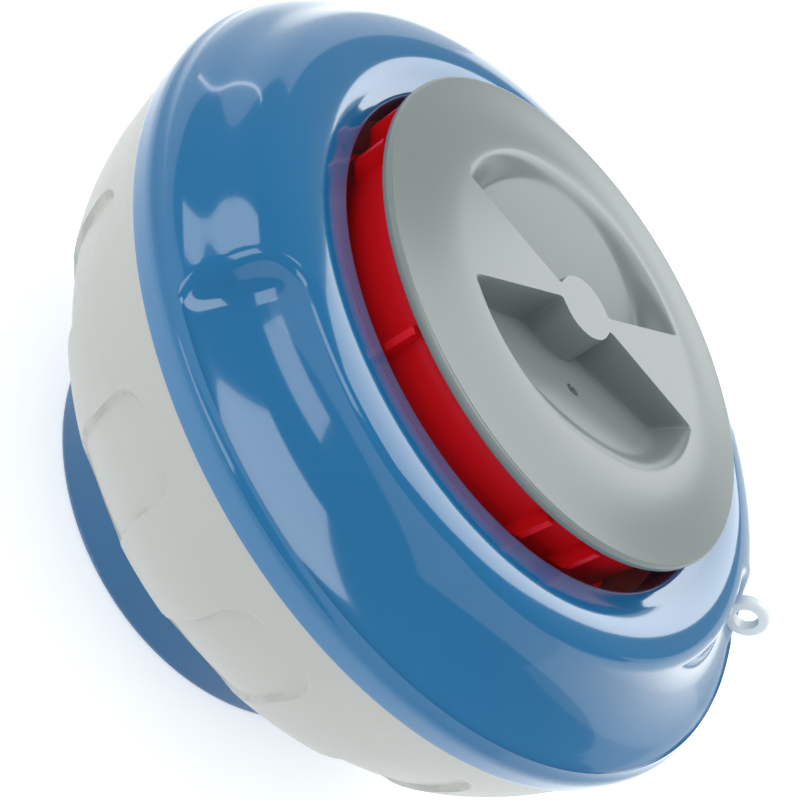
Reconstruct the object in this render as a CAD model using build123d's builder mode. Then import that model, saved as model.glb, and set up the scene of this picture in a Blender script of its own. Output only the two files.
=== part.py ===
from build123d import *
from math import cos, radians, sin, sqrt
import os

# Floating chlorine dispenser, in millimetres, +Z up. The origin is the centre of the canister's
# foot, where the popped-up dispenser stands. A hollow float (blue dome on a grey bowl, with a
# sleeve through both) carries a cartridge (blue canister, red collar, tablet basket) that slides
# down by the pop-up travel, turns in its guide ring, and is closed by a grey plug lid.

# Fits
RUN_GAP = 0.4  # between curved faces of pieces that move past each other
SEAT_GAP = 0.1  # between pieces of one body that plug together
PIVOT_GAP = 0.05  # running fit of the dial on its rivet
FACE_GAP = 0.3  # end play between flat faces of moving pieces

# Float
OPENING_R = 62.5  # bore of the dome's mouth and of the sleeve
OPENING_Z = 103.0  # height of the mouth's edge
LIP_ROUND = 1.2
LIP_WALL = 2.5
LIP_DEPTH = 11.0  # how far the mouth's collar reaches down
CREST_RUN = 13.0  # mouth to the dome's highest ring
CREST_RISE = 2.4
RIM_R = 99.3  # outside of the band around the float
SEAM_Z = 81.0
BAND_HEIGHT = 6.0
GROOVE_DEPTH = 1.4
GROOVE_HEIGHT = 1.4
SHOULDER_RUN = 8.0  # dome shoulder, measured in from the rim
SHOULDER_RISE = 7.4  # dome shoulder, measured up from the groove
SHELL_WALL = 2.2

# Cord channel around part of the dome
CHANNEL_START = 251.0
CHANNEL_ARC = 127.0
CHANNEL_ROUND = 22.0
CHANNEL_RUN = 1.7  # centre of the channel's round, measured out from the rim
CHANNEL_RISE = 29.6  # the same, measured up from the seam

# Bowl
BOWL_STEP = 1.0  # how far the bowl's outside stands in from the band
BOWL_FOOT_Z = 23.6
FOOT_COLLAR_WALL = 2.5  # sleeve to the bowl's foot edge
FLANGE_WIDTH = 9.0
GASKET_THICK = 1.0
GASKET_WIDTH = 7.0
PETAL_COUNT = 13
PETAL_PHASE = 258.5
PETAL_WIDTH = 22.0
PETAL_TOP = 71.5
PETAL_LOW = 28.0
PETAL_CORNER = 7.0
PETAL_DEPTH = 0.8

# Sleeve through the float
SLEEVE_WALL = 4.0
SOCKET_WALL = 2.2
SOCKET_DEPTH = 5.0
SEAL_R = 1.1
KEY_COUNT = 3
KEY_WIDTH = 5.4
KEY_REACH = 2.4
POP_TRAVEL = 9.5

# Guide ring
GUIDE_LOW = 68.3
GUIDE_HEIGHT = 7.4
TURN_RANGE = 30.0
LUG_ARC = 6.0
LUG_REACH = 1.7

# Cartridge
CANISTER_GAP = 1.1  # canister to sleeve bore
CANISTER_WALL = 2.2
CANISTER_ROUND = 3.0
FOOT_INNER_R = 46.0
RECESS_DEPTH = 9.0
FLOOR_WALL = 2.5
CATCH_THICK = 2.0
CATCH_GAP = 0.9  # catch flange to sleeve bore
COLLAR_GAP = 5.5  # collar to sleeve bore
COLLAR_WALL = 2.0
COLLAR_TUCK = 8.0
RIB_GAP = 1.7  # rib tips to sleeve bore
RIB_THICK = 1.8
RIB_LENGTH = 8.5
RIB_DROP = 0.9  # rib top to lid flange
RIB_CENTRE = 258.0
RIB_OFFSETS = (-59.0, -45.0, 0.0, 45.0, 59.0)
BASKET_BORE_R = 40.5  # takes 76 mm tablets
BASKET_WALL = 1.8
BASKET_DROP = 6.3  # lid's pan to the basket's rim
BASKET_FLANGE_DROP = 12.0  # basket's rim to its flange
BASKET_FLANGE_THICK = 1.6
GRATE_RISE = 4.5  # canister floor to grate
GRATE_THICK = 2.0
GRATE_HOLE_R = 3.0
GRATE_RINGS = ((0.0, 1), (10.0, 6), (20.0, 12), (30.0, 18))
CELL_WALL = 1.5
CELL_HEIGHT = 46.0

# Dosing dial under the canister
DIAL_THICK = 3.0
DIAL_SLOTS = 8
DIAL_SLOT_R = 28.0
DIAL_SLOT_LENGTH = 16.0
DIAL_SLOT_WIDTH = 7.0
DIAL_FIN_RUN = 13.5
DIAL_FIN_LENGTH = 9.0
DIAL_FIN_WIDTH = 3.0
DIAL_FIN_HEIGHT = 4.0
PIVOT_R = 4.0
RIVET_HEAD_R = 6.0
RIVET_HEAD_THICK = 0.9

# Lid
LID_GAP = 1.2  # lid edge to mouth
LID_CLEAR = 0.8  # lid edge above the mouth when pushed down
LID_EDGE_THICK = 2.0
LID_EDGE_ROUND = 0.7
LID_CROWN = 2.0
PAN_GAP = 9.2  # pan to plug ring
POCKET_DEPTH = 11.0
PAN_WALL = 2.0
PLUG_WALL = 3.4
PLUG_LENGTH = 13.0
GRIP_AZIMUTH = 45.0  # direction of the grip bar
GRIP_NECK_RUN = 9.5
GRIP_NECK_HALF = 2.6
GRIP_TIP_GAP = 2.5  # grip tip to pocket edge
GRIP_TIP_HALF = 14.0
GRIP_BOSS_R = 8.5
VENT_RUN = 20.0
VENT_R = 1.0
VENT_BOSS_R = 4.0
VENT_BOSS_DROP = 4.3  # pan to the vent boss's end
VALVE_THICK = 2.5
VALVE_R = 4.6

# Tether eye
EYE_AZIMUTH = 17.0
EYE_R = 5.6
EYE_HOLE_R = 3.0
EYE_THICK = 3.2
EYE_ROUND = 0.8
EYE_STEM_R = 2.2
EYE_HEAD_R = 3.6
EYE_HEAD_THICK = 1.6

# Heights and radii that follow from the sizes above
SLEEVE_R = OPENING_R + SLEEVE_WALL
BOWL_FOOT_R = SLEEVE_R + FOOT_COLLAR_WALL
CANISTER_R = OPENING_R - CANISTER_GAP
COLLAR_R = OPENING_R - COLLAR_GAP
RIB_REACH = COLLAR_GAP - RIB_GAP
LID_R = OPENING_R - LID_GAP
LID_EDGE_Z = OPENING_Z + POP_TRAVEL + LID_CLEAR
LIP_R = OPENING_R + LIP_WALL
LIP_LOW = OPENING_Z - LIP_DEPTH
CREST_R = OPENING_R + CREST_RUN
CREST_Z = OPENING_Z + CREST_RISE
BAND_TOP = SEAM_Z + BAND_HEIGHT
BAND_INNER_R = RIM_R - SHELL_WALL
GROOVE_R = RIM_R - GROOVE_DEPTH
GROOVE_TOP = BAND_TOP + GROOVE_HEIGHT
SHOULDER_R = RIM_R - SHOULDER_RUN
SHOULDER_Z = GROOVE_TOP + SHOULDER_RISE
BOWL_R = RIM_R - BOWL_STEP
BOWL_TUCK_R = BAND_INNER_R - SEAT_GAP
FLANGE_TOP = SEAM_Z + BAND_HEIGHT / 2
LEDGE_Z = FLANGE_TOP + GASKET_THICK
LEDGE_TOP = LEDGE_Z + SHELL_WALL
LEDGE_R = BOWL_TUCK_R - FLANGE_WIDTH
CHANNEL_R = RIM_R + CHANNEL_RUN
CHANNEL_Z = SEAM_Z + CHANNEL_RISE
GUIDE_HIGH = GUIDE_LOW + GUIDE_HEIGHT
GUIDE_R = OPENING_R - RUN_GAP
CATCH_R = OPENING_R - CATCH_GAP
CANISTER_TOP = GUIDE_LOW - FACE_GAP
COLLAR_FLANGE_Z = GUIDE_HIGH + FACE_GAP
COLLAR_INNER_R = COLLAR_R - COLLAR_WALL
LID_LOW = LID_EDGE_Z - LID_EDGE_THICK
LID_TOP = LID_EDGE_Z + LID_CROWN
COLLAR_TOP = LID_LOW - FACE_GAP
FLOOR_TOP = RECESS_DEPTH + FLOOR_WALL
CANISTER_INNER_R = CANISTER_R - CANISTER_WALL
GRATE_Z = FLOOR_TOP + GRATE_RISE
PLUG_R = COLLAR_INNER_R - RUN_GAP
PAN_R = PLUG_R - PLUG_WALL - PAN_GAP
POCKET_R = PAN_R - PAN_WALL
GRIP_TIP_RUN = POCKET_R - GRIP_TIP_GAP
PAN_LOW = LID_TOP - POCKET_DEPTH - PAN_WALL
VENT_BOSS_LOW = PAN_LOW - VENT_BOSS_DROP
BASKET_R = BASKET_BORE_R + BASKET_WALL
BASKET_TOP = PAN_LOW - BASKET_DROP
BASKET_FLANGE_Z = BASKET_TOP - BASKET_FLANGE_DROP


def radial_plane(azimuth):
    """Upright plane through the axis: local x points out at the azimuth, local y points up."""
    turn = radians(azimuth)
    return Plane(origin=(0, 0, 0), x_dir=(cos(turn), sin(turn), 0), z_dir=(sin(turn), -cos(turn), 0))


def ring(inner, outer, low, high):
    """Plain ring between two radii and two heights."""
    with BuildPart() as made:
        with BuildSketch(Plane.XY.offset(low)):
            Circle(outer)
            Circle(inner, mode=Mode.SUBTRACT)
        extrude(amount=high - low)
    return made.part


def cord_ring(major, minor, height):
    """Round-section seal ring lying level at a height."""
    with BuildPart() as made:
        with BuildSketch(Plane.XZ):
            with Locations((major, height)):
                Circle(minor)
        revolve(axis=Axis.Z)
    return made.part


def channel_form(radius):
    """Round-ended channel body around the dome, used at the outside and wall-deeper inside."""
    with BuildPart() as made:
        with BuildSketch(radial_plane(CHANNEL_START)):
            with Locations((CHANNEL_R, CHANNEL_Z)):
                Circle(radius)
        revolve(axis=Axis.Z, revolution_arc=CHANNEL_ARC)
        with Locations(
            *[
                (CHANNEL_R * cos(radians(end)), CHANNEL_R * sin(radians(end)), CHANNEL_Z)
                for end in (CHANNEL_START, CHANNEL_START + CHANNEL_ARC)
            ]
        ):
            Sphere(radius)
    return made.part


def finish(piece, name):
    """Label a finished piece and write it."""
    piece.label = name
    export_step(piece, f"parts/{name}.step")


os.makedirs("parts", exist_ok=True)

# Upper float shell: crowned dome with a mouth collar, a round-ended channel and a rim band.
with BuildPart() as dome_void:
    with BuildSketch(Plane.XZ):
        with BuildLine():
            Polyline(
                (GROOVE_R - SHELL_WALL, LEDGE_TOP),
                (LEDGE_R, LEDGE_TOP),
                (LEDGE_R, LEDGE_Z - SHELL_WALL),
                (OPENING_R - LIP_WALL, LEDGE_Z - SHELL_WALL),
                (OPENING_R - LIP_WALL, LIP_LOW),
                (LIP_R, LIP_LOW),
                (LIP_R, OPENING_Z - SHELL_WALL),
            )
            Spline(
                (LIP_R, OPENING_Z - SHELL_WALL),
                (CREST_R, CREST_Z - SHELL_WALL),
                (SHOULDER_R - SHELL_WALL * 0.7, SHOULDER_Z - SHELL_WALL * 0.7),
                (GROOVE_R - SHELL_WALL, LEDGE_TOP),
            )
        make_face()
    revolve(axis=Axis.Z)
    add(channel_form(CHANNEL_ROUND + SHELL_WALL), mode=Mode.SUBTRACT)

EYE_BED_R = CHANNEL_R - CHANNEL_ROUND * sqrt(0.5)
EYE_BED_Z = CHANNEL_Z - CHANNEL_ROUND * sqrt(0.5)
EYE_LEAN = Vector(sqrt(0.5) * cos(radians(EYE_AZIMUTH)), sqrt(0.5) * sin(radians(EYE_AZIMUTH)), sqrt(0.5))
EYE_BED = Vector(EYE_BED_R * cos(radians(EYE_AZIMUTH)), EYE_BED_R * sin(radians(EYE_AZIMUTH)), EYE_BED_Z)
EYE_CENTRE = EYE_BED + EYE_LEAN * (EYE_R + FACE_GAP)
EYE_HEAD_AT = EYE_BED - EYE_LEAN * (SHELL_WALL + SEAT_GAP + EYE_HEAD_THICK)

with BuildPart() as upper_float_shell:
    with BuildSketch(Plane.XZ):
        with BuildLine():
            Line((OPENING_R, LEDGE_Z), (OPENING_R, OPENING_Z - LIP_ROUND))
            RadiusArc(
                (OPENING_R, OPENING_Z - LIP_ROUND), (OPENING_R + LIP_ROUND, OPENING_Z), LIP_ROUND
            )
            Spline(
                (OPENING_R + LIP_ROUND, OPENING_Z),
                (CREST_R, CREST_Z),
                (SHOULDER_R, SHOULDER_Z),
                (GROOVE_R, GROOVE_TOP),
            )
            Polyline(
                (GROOVE_R, GROOVE_TOP),
                (GROOVE_R, BAND_TOP),
                (RIM_R, BAND_TOP),
                (RIM_R, SEAM_Z),
                (BAND_INNER_R, SEAM_Z),
                (BAND_INNER_R, LEDGE_Z),
                (OPENING_R, LEDGE_Z),
            )
        make_face()
    revolve(axis=Axis.Z)
    add(channel_form(CHANNEL_ROUND), mode=Mode.SUBTRACT)
    add(dome_void.part, mode=Mode.SUBTRACT)
    with BuildSketch(Plane(origin=EYE_HEAD_AT, z_dir=EYE_LEAN)):
        Circle(EYE_STEM_R + SEAT_GAP)
    extrude(amount=EYE_HEAD_THICK + SHELL_WALL * 2, mode=Mode.SUBTRACT)
finish(upper_float_shell.part, "upper_float_shell")

# Tether eye: flat-sided eyelet standing in the channel on a snap stem.
EYE_PLANE = Plane(origin=EYE_CENTRE, z_dir=(-sin(radians(EYE_AZIMUTH)), cos(radians(EYE_AZIMUTH)), 0))
with BuildPart() as tether_eye:
    with BuildSketch(EYE_PLANE.offset(-EYE_THICK / 2)):
        Circle(EYE_R)
    extrude(amount=EYE_THICK)
    fillet(tether_eye.edges().filter_by(GeomType.CIRCLE), EYE_ROUND)
    with BuildSketch(Plane(origin=EYE_HEAD_AT, z_dir=EYE_LEAN)):
        Circle(EYE_STEM_R)
    extrude(amount=EYE_HEAD_THICK + SHELL_WALL + SEAT_GAP + FACE_GAP + EYE_ROUND)
    with BuildSketch(Plane(origin=EYE_HEAD_AT, z_dir=EYE_LEAN)):
        Circle(EYE_HEAD_R)
    extrude(amount=EYE_HEAD_THICK)
    with BuildSketch(EYE_PLANE.offset(-EYE_THICK)):
        Circle(EYE_HOLE_R)
    extrude(amount=EYE_THICK * 2, mode=Mode.SUBTRACT)
finish(tether_eye.part, "tether_eye")


def bowl_profile(inset):
    """Outside of the bowl from the seam to its foot, moved inward by an inset."""
    span = SEAM_Z - BOWL_FOOT_Z
    drops = ((0.0, 0.0), (0.17, 0.04), (0.33, 0.09), (0.55, 0.23), (0.76, 0.5))
    fall = BOWL_R - BOWL_FOOT_R
    points = [(BOWL_R - fall * across - inset, SEAM_Z - span * down) for down, across in drops]
    return points + [(BOWL_FOOT_R - inset * 0.4, BOWL_FOOT_Z + inset * 0.9)]


def bowl_body(inset, foot):
    """Solid of the bowl's outside shape, inset inward and closed at a foot height."""
    points = bowl_profile(inset)
    with BuildPart() as made:
        with BuildSketch(Plane.XZ):
            with BuildLine():
                Spline(*points)
                Polyline(points[-1], (0, foot), (0, SEAM_Z), points[0])
            make_face()
        revolve(axis=Axis.Z)
    return made.part


# Lower float shell: bowl with a tucked flange, a foot collar and shallow petals around it.
with BuildPart() as petals:
    for index in range(PETAL_COUNT):
        face_plane = radial_plane(PETAL_PHASE + index * 360 / PETAL_COUNT + 90)
        with BuildSketch(face_plane.offset(BOWL_FOOT_R * 0.5)):
            with Locations((0, (PETAL_TOP + PETAL_LOW) / 2)):
                RectangleRounded(PETAL_WIDTH, PETAL_TOP - PETAL_LOW, PETAL_CORNER)
        extrude(amount=RIM_R)
    add(bowl_body(PETAL_DEPTH, BOWL_FOOT_Z + PETAL_DEPTH), mode=Mode.SUBTRACT)

with BuildPart() as lower_float_shell:
    add(bowl_body(0, BOWL_FOOT_Z))
    add(ring(OPENING_R, BOWL_TUCK_R, SEAM_Z, FLANGE_TOP))
    add(bowl_body(SHELL_WALL, BOWL_FOOT_Z + SHELL_WALL), mode=Mode.SUBTRACT)
    with BuildSketch(Plane.XY.offset(SEAM_Z)):
        Circle(BOWL_TUCK_R - SHELL_WALL)
    extrude(amount=FLANGE_TOP - SHELL_WALL - SEAM_Z, mode=Mode.SUBTRACT)
    with BuildSketch(Plane.XY.offset(FLANGE_TOP - SHELL_WALL)):
        Circle(LEDGE_R)
    extrude(amount=SHELL_WALL, mode=Mode.SUBTRACT)
    add(ring(SLEEVE_R + SEAT_GAP, BOWL_FOOT_R, BOWL_FOOT_Z + SHELL_WALL / 2, BOWL_FOOT_Z + LIP_DEPTH))
    with BuildSketch(Plane.XY.offset(BOWL_FOOT_Z - SHELL_WALL)):
        Circle(SLEEVE_R + SEAT_GAP)
    extrude(amount=SHELL_WALL * 3, mode=Mode.SUBTRACT)
    add(petals.part, mode=Mode.SUBTRACT)
finish(lower_float_shell.part, "lower_float_shell")

# Flat gasket squeezed between the bowl's flange and the dome's ledge.
seam_gasket = ring(BOWL_TUCK_R - SEAT_GAP - GASKET_WIDTH, BOWL_TUCK_R - SEAT_GAP, FLANGE_TOP, LEDGE_Z)
finish(seam_gasket, "seam_gasket")

# Sleeve through the float, with keyways for the guide ring and a socket for the mouth's collar.
with BuildPart() as float_sleeve:
    add(ring(OPENING_R, SLEEVE_R, BOWL_FOOT_Z, LIP_LOW))
    add(ring(LIP_R + SEAT_GAP, LIP_R + SEAT_GAP + SOCKET_WALL, LIP_LOW - SOCKET_WALL, LIP_LOW + SOCKET_DEPTH))
    key_low = GUIDE_LOW - POP_TRAVEL - FACE_GAP
    key_plane = Plane.XY.offset(key_low)
    with BuildSketch(key_plane):
        with PolarLocations(OPENING_R, KEY_COUNT):
            Rectangle((KEY_REACH + RUN_GAP) * 2, KEY_WIDTH + RUN_GAP * 2)
    extrude(amount=GUIDE_HIGH + FACE_GAP - key_low, mode=Mode.SUBTRACT)
finish(float_sleeve.part, "float_sleeve")

sleeve_top_seal = cord_ring(LIP_R + SEAT_GAP + SEAL_R, SEAL_R, LIP_LOW + SOCKET_DEPTH + SEAL_R)
finish(sleeve_top_seal, "sleeve_top_seal")
sleeve_foot_seal = cord_ring(SLEEVE_R + SEAT_GAP + SEAL_R, SEAL_R, BOWL_FOOT_Z + LIP_DEPTH + SEAL_R)
finish(sleeve_foot_seal, "sleeve_foot_seal")

# Guide ring: slides in the sleeve's keyways, and lets the cartridge turn by the lug's free arc.
with BuildPart() as guide_ring:
    add(ring(COLLAR_R + RUN_GAP, GUIDE_R, GUIDE_LOW, GUIDE_HIGH))
    with BuildSketch(Plane.XY.offset(GUIDE_LOW)):
        with PolarLocations(GUIDE_R, KEY_COUNT):
            Rectangle((KEY_REACH + OPENING_R - GUIDE_R) * 2, KEY_WIDTH)
        Circle(GUIDE_R - SHELL_WALL / 2, mode=Mode.SUBTRACT)
    extrude(amount=GUIDE_HEIGHT)
    lug_side = LUG_ARC / 2 + 1
    with BuildSketch(radial_plane(-lug_side)):
        with Locations((COLLAR_R + LUG_REACH / 2 + RUN_GAP / 2, (GUIDE_LOW + GUIDE_HIGH) / 2)):
            Rectangle(LUG_REACH + RUN_GAP, GUIDE_HEIGHT * 2)
    revolve(axis=Axis.Z, revolution_arc=TURN_RANGE + lug_side * 2, mode=Mode.SUBTRACT)
finish(guide_ring.part, "guide_ring")

# Indicator collar: red band that shows when the cartridge has popped up.
with BuildPart() as indicator_collar:
    add(ring(COLLAR_INNER_R, COLLAR_R, CANISTER_TOP - COLLAR_TUCK, COLLAR_TOP))
    add(ring(COLLAR_INNER_R, CATCH_R, COLLAR_FLANGE_Z, COLLAR_FLANGE_Z + CATCH_THICK))
    with BuildSketch(radial_plane(-LUG_ARC / 2)):
        with Locations((COLLAR_R + LUG_REACH / 2, (GUIDE_LOW + GUIDE_HIGH) / 2)):
            Rectangle(LUG_REACH, GUIDE_HEIGHT / 2)
    revolve(axis=Axis.Z, revolution_arc=LUG_ARC)
    with BuildSketch(radial_plane(-LUG_ARC / 2)):
        with Locations((COLLAR_R - COLLAR_WALL / 4, (GUIDE_LOW + GUIDE_HIGH) / 2)):
            Rectangle(COLLAR_WALL, GUIDE_HEIGHT / 2)
    revolve(axis=Axis.Z, revolution_arc=LUG_ARC)
    rib_low = COLLAR_TOP - RIB_DROP - RIB_LENGTH
    for side in (0, 180):
        for offset_angle in RIB_OFFSETS:
            with BuildSketch(radial_plane(RIB_CENTRE + side + offset_angle).offset(-RIB_THICK / 2)):
                with BuildLine():
                    Polyline(
                        (COLLAR_R - COLLAR_WALL / 2, rib_low - RIB_REACH),
                        (COLLAR_R, rib_low - RIB_REACH),
                        (COLLAR_R + RIB_REACH, rib_low),
                        (COLLAR_R + RIB_REACH, rib_low + RIB_LENGTH),
                        (COLLAR_R - COLLAR_WALL / 2, rib_low + RIB_LENGTH),
                        close=True,
                    )
                make_face()
            extrude(amount=RIB_THICK)
finish(indicator_collar.part, "indicator_collar")

# Canister: blue cup with a rounded foot, a catch flange, and dosing slots in its recessed floor.
with BuildPart() as canister:
    with BuildSketch(Plane.XZ):
        with BuildLine():
            Polyline(
                (CANISTER_R - CANISTER_ROUND, 0),
                (FOOT_INNER_R, 0),
                (FOOT_INNER_R, RECESS_DEPTH),
                (0, RECESS_DEPTH),
                (0, FLOOR_TOP),
                (CANISTER_INNER_R, FLOOR_TOP),
                (CANISTER_INNER_R, CANISTER_TOP - CATCH_THICK),
                (COLLAR_R + SEAT_GAP, CANISTER_TOP - CATCH_THICK),
                (COLLAR_R + SEAT_GAP, CANISTER_TOP),
                (CATCH_R, CANISTER_TOP),
                (CATCH_R, CANISTER_TOP - CATCH_THICK),
                (CANISTER_R, CANISTER_TOP - CATCH_THICK),
                (CANISTER_R, CANISTER_ROUND),
            )
            RadiusArc(
                (CANISTER_R, CANISTER_ROUND), (CANISTER_R - CANISTER_ROUND, 0), CANISTER_ROUND
            )
        make_face()
    revolve(axis=Axis.Z)
    with BuildSketch(Plane.XY.offset(RECESS_DEPTH)):
        Circle(PIVOT_R)
        with PolarLocations(DIAL_SLOT_R, DIAL_SLOTS):
            SlotOverall(DIAL_SLOT_LENGTH, DIAL_SLOT_WIDTH)
    extrude(amount=FLOOR_WALL, mode=Mode.SUBTRACT)
finish(canister.part, "canister")

# Dosing dial: slotted disc that turns under the canister's floor, with two finger fins.
DIAL_LOW = RECESS_DEPTH - FACE_GAP - DIAL_THICK
with BuildPart() as dosing_dial:
    with BuildSketch(Plane.XY.offset(DIAL_LOW)):
        Circle(FOOT_INNER_R - RUN_GAP)
        Circle(PIVOT_R, mode=Mode.SUBTRACT)
        with PolarLocations(DIAL_SLOT_R, DIAL_SLOTS):
            SlotOverall(DIAL_SLOT_LENGTH, DIAL_SLOT_WIDTH, mode=Mode.SUBTRACT)
    extrude(amount=DIAL_THICK)
    with BuildSketch(Plane.XY.offset(DIAL_LOW - DIAL_FIN_HEIGHT)):
        with Locations((-DIAL_FIN_RUN, 0), (DIAL_FIN_RUN, 0)):
            SlotOverall(DIAL_FIN_LENGTH, DIAL_FIN_WIDTH)
    extrude(amount=DIAL_FIN_HEIGHT)
finish(dosing_dial.part, "dosing_dial")

# Rivet that carries the dial.
with BuildPart() as dial_rivet:
    with BuildSketch(Plane.XY.offset(DIAL_LOW - FACE_GAP)):
        Circle(PIVOT_R - PIVOT_GAP)
    extrude(amount=FLOOR_TOP + FACE_GAP - DIAL_LOW)
    for low in (DIAL_LOW - FACE_GAP - RIVET_HEAD_THICK, FLOOR_TOP):
        with BuildSketch(Plane.XY.offset(low)):
            Circle(RIVET_HEAD_R)
        extrude(amount=RIVET_HEAD_THICK)
finish(dial_rivet.part, "dial_rivet")

# Tablet basket: open tube with a ledge for the grate.
with BuildPart() as tablet_basket:
    add(ring(BASKET_BORE_R, BASKET_R, FLOOR_TOP, BASKET_TOP))
    add(ring(BASKET_BORE_R - BASKET_WALL, BASKET_R, GRATE_Z - BASKET_WALL, GRATE_Z))
finish(tablet_basket.part, "tablet_basket")

# Flat ring snapped around the basket, which closes the space between it and the collar.
basket_flange = ring(
    BASKET_R + SEAT_GAP,
    COLLAR_INNER_R - SEAT_GAP,
    BASKET_FLANGE_Z,
    BASKET_FLANGE_Z + BASKET_FLANGE_THICK,
)
finish(basket_flange, "basket_flange")

# Grate that the tablets stand on.
with BuildPart() as tablet_grate:
    with BuildSketch(Plane.XY.offset(GRATE_Z)):
        Circle(BASKET_BORE_R - SEAT_GAP)
        for run, count in GRATE_RINGS:
            with PolarLocations(run, count):
                Circle(GRATE_HOLE_R, mode=Mode.SUBTRACT)
    extrude(amount=GRATE_THICK)
finish(tablet_grate.part, "tablet_grate")

# Air cell that lifts the emptied cartridge: ring-shaped trough with a flat cap.
CELL_INNER_R = BASKET_R + SEAT_GAP
CELL_R = CANISTER_INNER_R - SEAT_GAP
CELL_TOP = FLOOR_TOP + CELL_HEIGHT
with BuildPart() as air_cell_trough:
    add(ring(CELL_INNER_R, CELL_R, FLOOR_TOP, CELL_TOP))
    with BuildSketch(Plane.XY.offset(FLOOR_TOP + CELL_WALL)):
        Circle(CELL_R - CELL_WALL)
        Circle(CELL_INNER_R + CELL_WALL, mode=Mode.SUBTRACT)
    extrude(amount=CELL_HEIGHT, mode=Mode.SUBTRACT)
finish(air_cell_trough.part, "air_cell_trough")
air_cell_cap = ring(CELL_INNER_R, CELL_R, CELL_TOP, CELL_TOP + CELL_WALL)
finish(air_cell_cap, "air_cell_cap")

# Lid: crowned disc with two scooped finger pockets on either side of a bow-tie grip.
GRIP_PLANE = Plane(
    origin=(0, 0, 0),
    x_dir=(cos(radians(GRIP_AZIMUTH)), sin(radians(GRIP_AZIMUTH)), 0),
    z_dir=(0, 0, 1),
)
SCOOP_SLOPE = POCKET_DEPTH / (POCKET_R - GRIP_NECK_HALF)


def scoop_floor(run):
    """Height of a pocket's floor at a distance across from the grip's middle line."""
    return LID_TOP - SCOOP_SLOPE * (POCKET_R - run)


def scoop_wedge(near, far, top, sink):
    """Wedge on both sides of the grip, above the pocket floors (or below them with a sink)."""
    across = Plane(origin=(0, 0, 0), x_dir=GRIP_PLANE.y_dir, z_dir=GRIP_PLANE.x_dir)
    with BuildPart() as made:
        for side in (-1, 1):
            with BuildSketch(across.offset(-LID_R)):
                with BuildLine():
                    Polyline(
                        (side * near, scoop_floor(near) - sink),
                        (side * far, scoop_floor(far) - sink),
                        (side * far, top),
                        (side * near, top),
                        close=True,
                    )
                make_face()
            extrude(amount=LID_R * 2)
    return made.part


def grip_outline(slack):
    """Plan of the bow-tie grip, wider than the grip by a slack."""
    flare = (GRIP_TIP_HALF - GRIP_NECK_HALF) / (GRIP_TIP_RUN - GRIP_NECK_RUN)
    half = GRIP_NECK_HALF + slack
    tip = half + flare * (LID_R - GRIP_NECK_RUN)
    with BuildSketch() as made:
        with BuildLine():
            Polyline(
                (LID_R, tip),
                (GRIP_NECK_RUN, half),
                (-GRIP_NECK_RUN, half),
                (-LID_R, tip),
                (-LID_R, -tip),
                (-GRIP_NECK_RUN, -half),
                (GRIP_NECK_RUN, -half),
                (LID_R, -tip),
                close=True,
            )
        make_face()
        Circle(GRIP_BOSS_R + slack)
    return made.sketch


with BuildPart() as pockets:
    with BuildSketch(GRIP_PLANE.offset(PAN_LOW)):
        Circle(POCKET_R)
        add(grip_outline(0), mode=Mode.SUBTRACT)
    extrude(amount=LID_TOP + PAN_WALL - PAN_LOW)
    add(scoop_wedge(0.01, LID_R, scoop_floor(LID_R) + LID_CROWN, 0), mode=Mode.INTERSECT)

with BuildPart() as pan_hollow:
    with BuildSketch(GRIP_PLANE.offset(PAN_LOW - PAN_WALL)):
        Circle(POCKET_R)
        add(grip_outline(-PAN_WALL / 2), mode=Mode.SUBTRACT)
    extrude(amount=LID_TOP - PAN_LOW)
    add(scoop_wedge(GRIP_NECK_HALF, POCKET_R - PAN_WALL, PAN_LOW - PAN_WALL * 2, PAN_WALL), mode=Mode.INTERSECT)

with BuildPart() as grip_hollow:
    for side in (-1, 1):
        with BuildSketch(GRIP_PLANE.offset(PAN_LOW - PAN_WALL)):
            with BuildLine():
                Polyline(
                    (side * (GRIP_NECK_RUN + PAN_WALL * 3), 0),
                    (side * (GRIP_TIP_RUN - PAN_WALL), GRIP_TIP_HALF - PAN_WALL * 2),
                    (side * (GRIP_TIP_RUN - PAN_WALL), PAN_WALL * 2 - GRIP_TIP_HALF),
                    close=True,
                )
            make_face()
        extrude(amount=LID_TOP - PAN_LOW)
    with BuildSketch(GRIP_PLANE.offset(PAN_LOW - PAN_WALL)):
        Circle(GRIP_BOSS_R - PAN_WALL)
    extrude(amount=LID_TOP - PAN_LOW)

VENT_X = VENT_RUN * sin(radians(GRIP_AZIMUTH))
VENT_Y = -VENT_RUN * cos(radians(GRIP_AZIMUTH))
with BuildPart() as lid_cover:
    with BuildSketch(Plane.XZ):
        with BuildLine():
            Polyline(
                (0, LID_TOP),
                (POCKET_R + PAN_WALL, LID_TOP),
                (LID_R, LID_EDGE_Z),
                (LID_R, LID_LOW),
                (PAN_R, LID_LOW),
                (PAN_R, PAN_LOW),
                (0, PAN_LOW),
                close=True,
            )
        make_face()
    revolve(axis=Axis.Z)
    fillet(lid_cover.edges().filter_by(GeomType.CIRCLE).group_by(SortBy.RADIUS)[-1], LID_EDGE_ROUND)
    add(pockets.part, mode=Mode.SUBTRACT)
    add(pan_hollow.part, mode=Mode.SUBTRACT)
    add(grip_hollow.part, mode=Mode.SUBTRACT)
    with BuildSketch(Plane.XY.offset(VENT_BOSS_LOW)):
        with Locations((VENT_X, VENT_Y)):
            Circle(VENT_BOSS_R)
    extrude(amount=scoop_floor(VENT_RUN - VENT_BOSS_R) - PAN_WALL / 2 - VENT_BOSS_LOW)
    with BuildSketch(Plane.XY.offset(VENT_BOSS_LOW)):
        with Locations((VENT_X, VENT_Y)):
            Circle(VENT_R)
    extrude(amount=LID_TOP - VENT_BOSS_LOW, mode=Mode.SUBTRACT)
finish(lid_cover.part, "lid_cover")

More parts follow.
